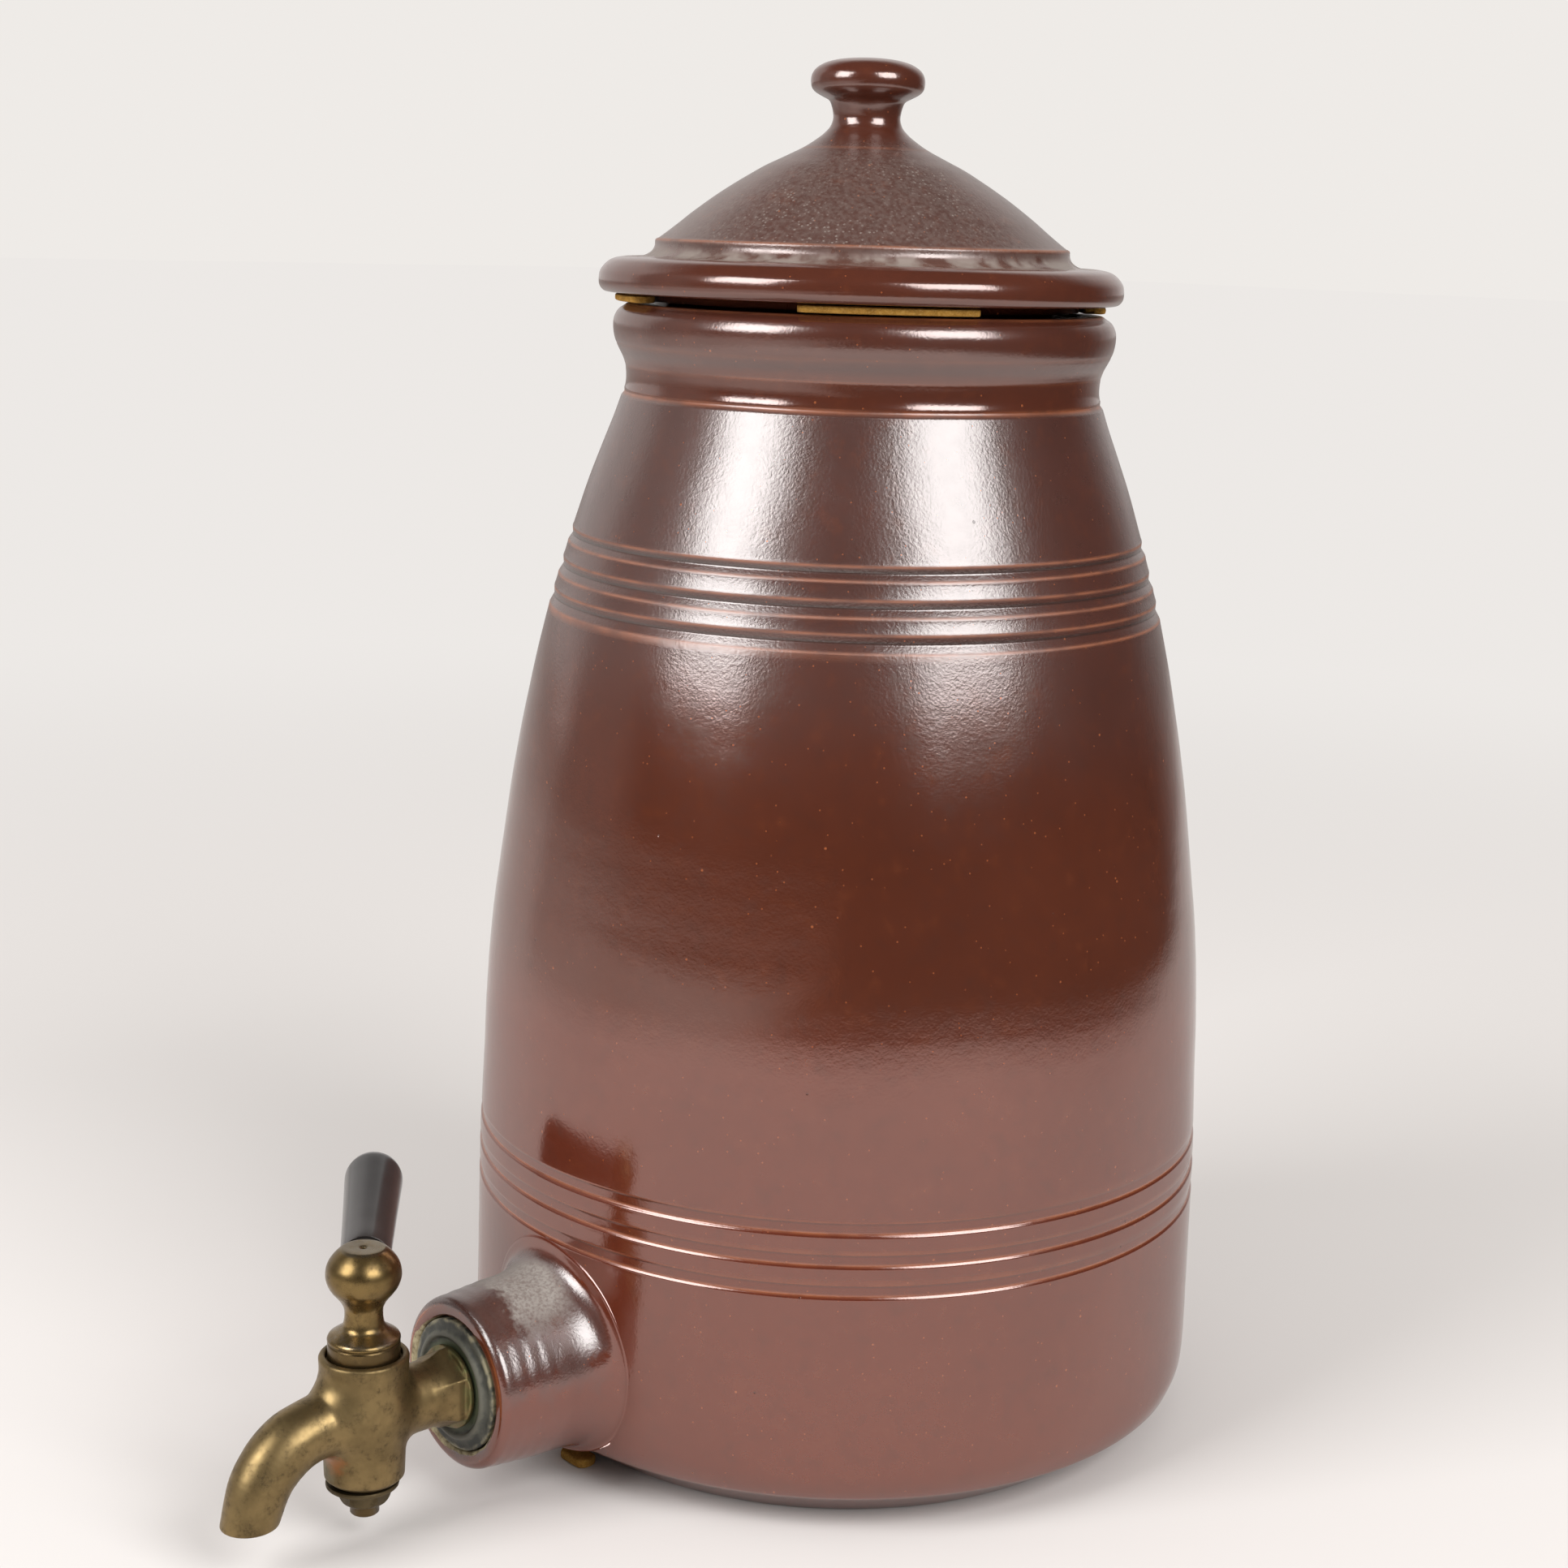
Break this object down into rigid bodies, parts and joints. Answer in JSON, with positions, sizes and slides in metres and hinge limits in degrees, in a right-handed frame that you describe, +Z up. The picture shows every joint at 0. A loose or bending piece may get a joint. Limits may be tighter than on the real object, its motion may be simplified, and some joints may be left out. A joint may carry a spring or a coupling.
{
  "type": "clay water pot with tap",
  "caption": "Tall turned stoneware jar with a domed lid and a round knob; a brass plug tap with a black lever sits in a rubber-sealed boss near the foot.",
  "frame": {"origin": "centre of the jar's flat foot, on the surface that it stands on", "axes": "+Z up along the jar's axis; the tap points along -Y"},
  "size_m": [0.1624, 0.2394, 0.2964],
  "materials": {
    "salt_glaze": "glossy brown salt glaze, purplish at the top and foot",
    "lid_glaze": "satin dark brown salt glaze",
    "aged_brass": "aged, satin",
    "plug_brass": "aged, satin",
    "dull_brass": "dull, darkened",
    "grey_rubber": "matt",
    "yellow_felt": "felt",
    "black_grip": "satin hard rubber"
  },
  "bodies": {
    "pot": {"pot_body": "salt_glaze", "foot_pad": "yellow_felt", "tap_bung": "grey_rubber", "tap_body": "aged_brass"},
    "lid": {"lid": "lid_glaze", "lid_pad_1": "yellow_felt", "lid_pad_2": "yellow_felt", "lid_pad_3": "yellow_felt", "lid_pad_4": "yellow_felt"},
    "key": {"tap_plug": "plug_brass", "plug_washer": "dull_brass", "plug_nut": "dull_brass", "handle_stem": "plug_brass", "handle_grip": "black_grip"}
  },
  "joints": [
    {"name": "lid_lift", "type": "slide", "parent": "pot", "child": "lid", "axis": [0, 0, 1], "range_m": [0, 0.1]},
    {"name": "tap_turn", "type": "hinge", "parent": "pot", "child": "key", "pos_m": [0, -0.1263, 0.0269], "axis": [0, 0, 1], "continuous": true}
  ]
}
